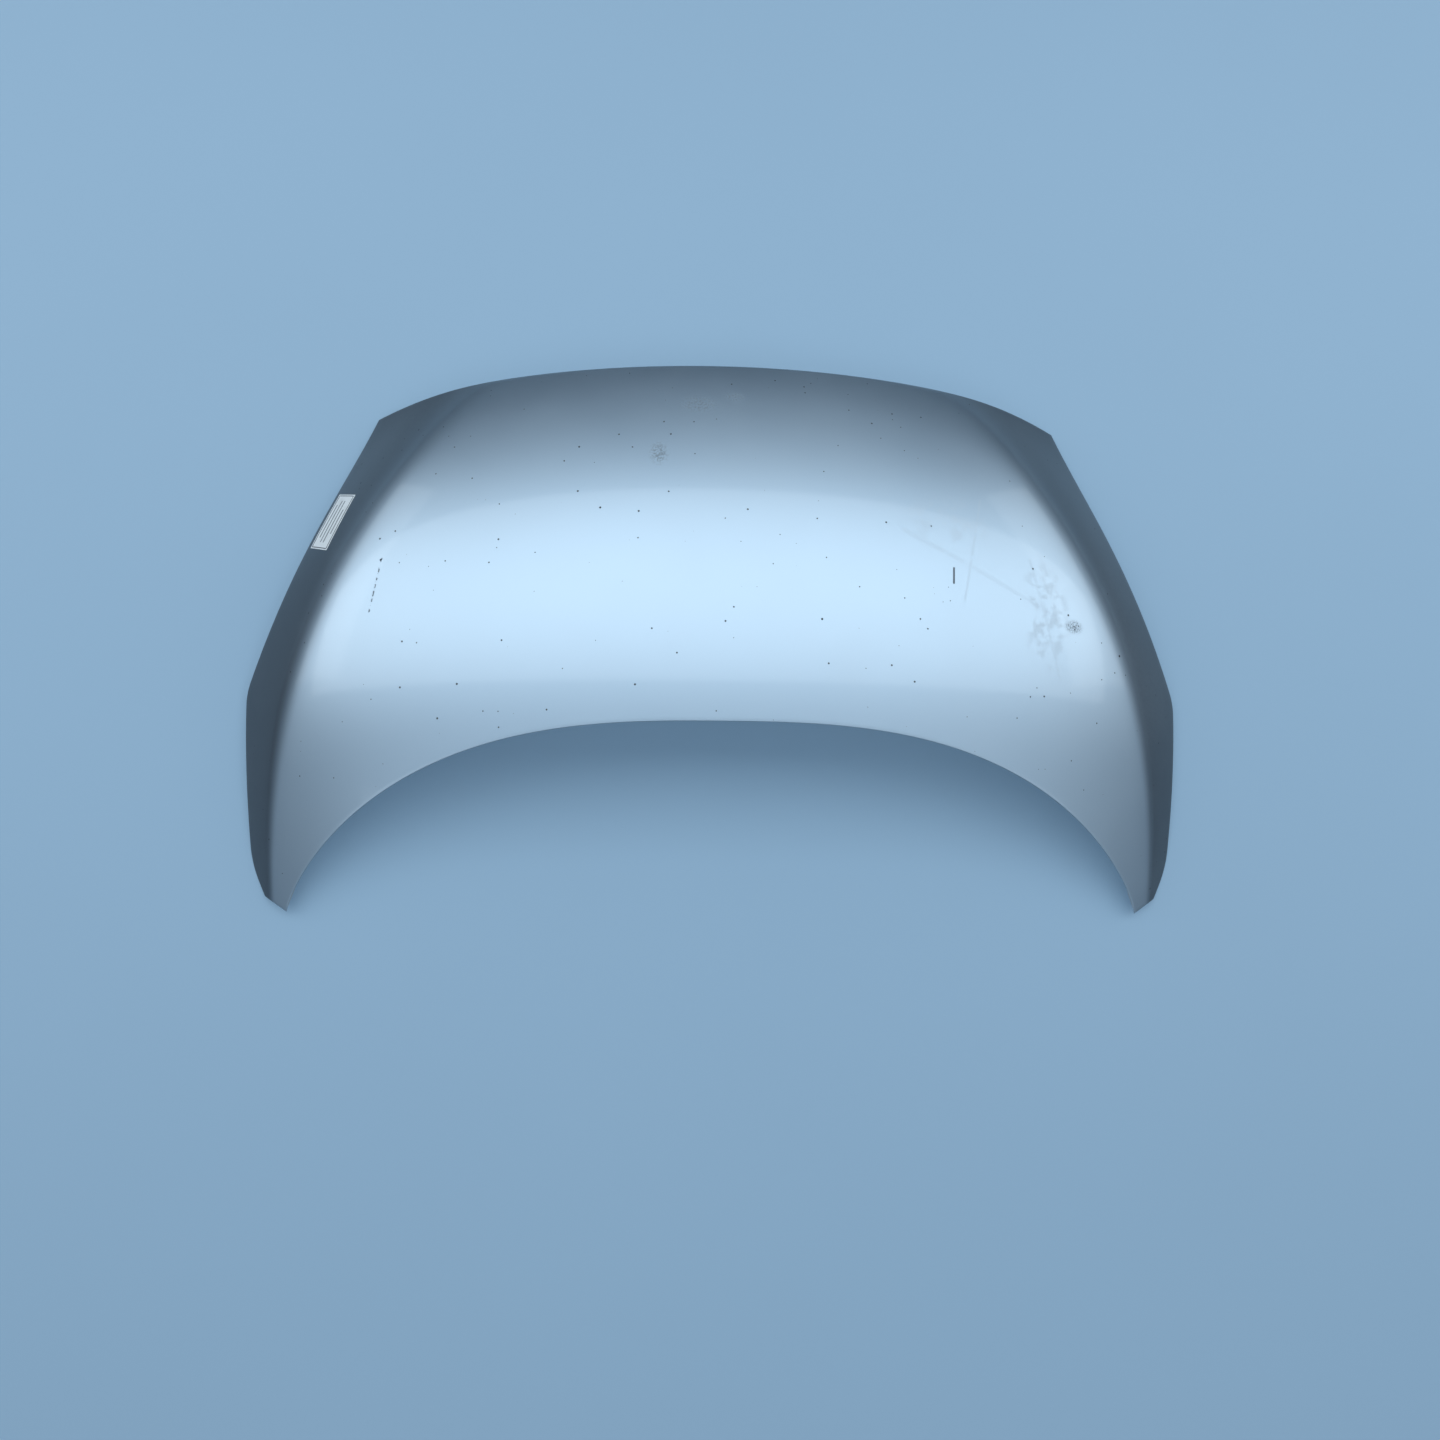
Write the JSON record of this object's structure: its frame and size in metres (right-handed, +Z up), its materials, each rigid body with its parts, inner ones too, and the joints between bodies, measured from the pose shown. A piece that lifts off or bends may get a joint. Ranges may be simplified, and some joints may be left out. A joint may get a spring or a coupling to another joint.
{
  "type": "car bonnet",
  "caption": "Silver car bonnet with a crowned outer sheet, soft side creases, a deep rear arch between horns, and a ribbed inner panel with striker and catch.",
  "frame": {"origin": "under the middle of the bonnet, on the surface that its rim rests on, painted face up", "axes": "+X across the bonnet to the right as seen from the windscreen, +Y from the rear horns to the front edge, +Z up out of the painted face"},
  "size_m": [1.448, 0.835, 0.1982],
  "materials": {
    "silver_paint": "metallic silver paint under clear coat, worn and dusty",
    "inner_paint": "thin satin coat of body colour over primer",
    "zinc_steel": "zinc plated, dull",
    "bare_steel": "bare, lightly oiled",
    "black_rubber": "matt moulded rubber",
    "black_plastic": "grained moulding",
    "mastic": "dull grey mastic",
    "label_paper": "white coated paper"
  },
  "bodies": {
    "bonnet": {"bonnet_skin": "silver_paint", "inner_panel": "inner_paint", "hinge_reinforcement_left": "zinc_steel", "hinge_reinforcement_right": "zinc_steel", "hinge_weld_nut_left_1": "bare_steel", "hinge_weld_nut_left_2": "bare_steel", "hinge_weld_nut_right_1": "bare_steel", "hinge_weld_nut_right_2": "bare_steel", "latch_reinforcement": "zinc_steel", "latch_weld_nut_1": "bare_steel", "latch_weld_nut_2": "bare_steel", "striker_plate": "zinc_steel", "striker_loop": "bare_steel", "striker_bolt_1": "zinc_steel", "striker_bolt_2": "zinc_steel", "catch_pivot_pin": "bare_steel", "catch_spring": "bare_steel", "front_buffer_left": "black_rubber", "front_buffer_right": "black_rubber", "side_buffer_left": "black_rubber", "side_buffer_right": "black_rubber", "blanking_plug_left": "black_plastic", "blanking_plug_right": "black_plastic", "prop_rod_socket": "black_plastic", "mastic_pad_01": "mastic", "mastic_pad_02": "mastic", "mastic_pad_03": "mastic", "mastic_pad_04": "mastic", "mastic_pad_05": "mastic", "mastic_pad_06": "mastic", "mastic_pad_07": "mastic", "mastic_pad_08": "mastic", "mastic_pad_09": "mastic", "mastic_pad_10": "mastic", "mastic_pad_11": "mastic", "mastic_pad_12": "mastic", "stock_label": "label_paper"},
    "catch": {"safety_catch": "zinc_steel", "safety_catch_grip": "black_plastic"}
  },
  "joints": [
    {"name": "safety_catch_swing", "type": "hinge", "parent": "bonnet", "child": "catch", "pos_m": [0.02, 0.35398, 0.09616], "axis": [0, -0.9806, 0.1959], "range_deg": [0, 28], "stiffness_Nm_per_rad": 0.3, "springref_deg": -11.46}
  ]
}
